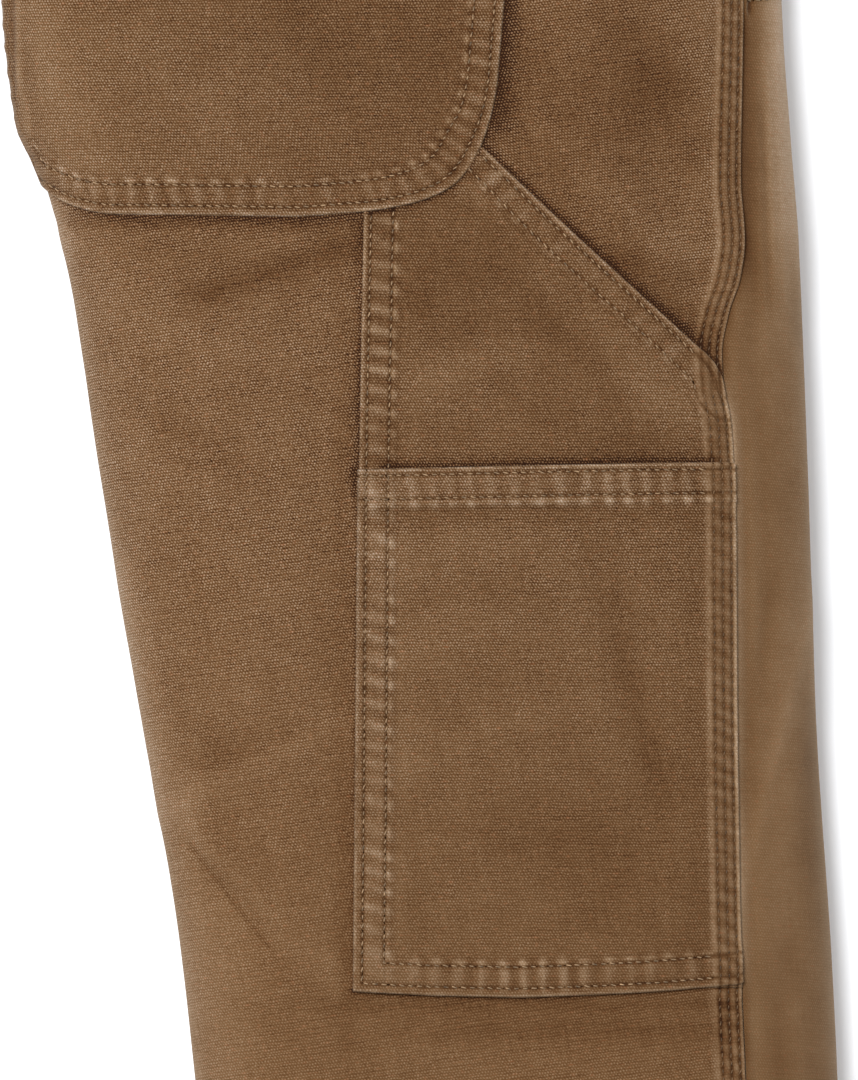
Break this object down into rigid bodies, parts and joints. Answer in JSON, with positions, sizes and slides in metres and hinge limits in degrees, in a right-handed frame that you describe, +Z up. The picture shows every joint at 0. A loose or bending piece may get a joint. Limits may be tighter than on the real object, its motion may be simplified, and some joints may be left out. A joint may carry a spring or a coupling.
{
  "type": "canvas work pants",
  "caption": "Washed canvas work pants folded in half lengthwise, backs outward, lying flat, with back, tool and utility pockets on the leg.",
  "frame": {"origin": "on the surface that the pants lie on, under the middle of their box", "axes": "+X towards the outseam, +Y from the hems to the waist, +Z up from the surface"},
  "size_m": [0.3456, 1.085, 0.0696],
  "materials": {
    "leg_canvas": "washed plain-weave cotton canvas, matte with a slight nap",
    "front_canvas": "washed plain-weave cotton canvas, matte with a slight nap",
    "pocket_canvas": "washed plain-weave cotton canvas with double-stitched edges, paler at the folds",
    "hidden_canvas": "the same canvas, in shade between the layers"
  },
  "bodies": {
    "root": {"right_back": "leg_canvas", "right_yoke": "leg_canvas", "right_front": "front_canvas", "front_pocket_facing": "front_canvas", "left_front": "front_canvas", "left_back": "leg_canvas", "left_yoke": "leg_canvas", "waistband": "leg_canvas", "folded_layers": "hidden_canvas", "back_pocket": "pocket_canvas", "tool_pocket": "pocket_canvas", "utility_pocket": "pocket_canvas", "belt_loop_centre": "pocket_canvas", "belt_loop_back": "pocket_canvas", "belt_loop_side": "pocket_canvas"}
  },
  "joints": []
}
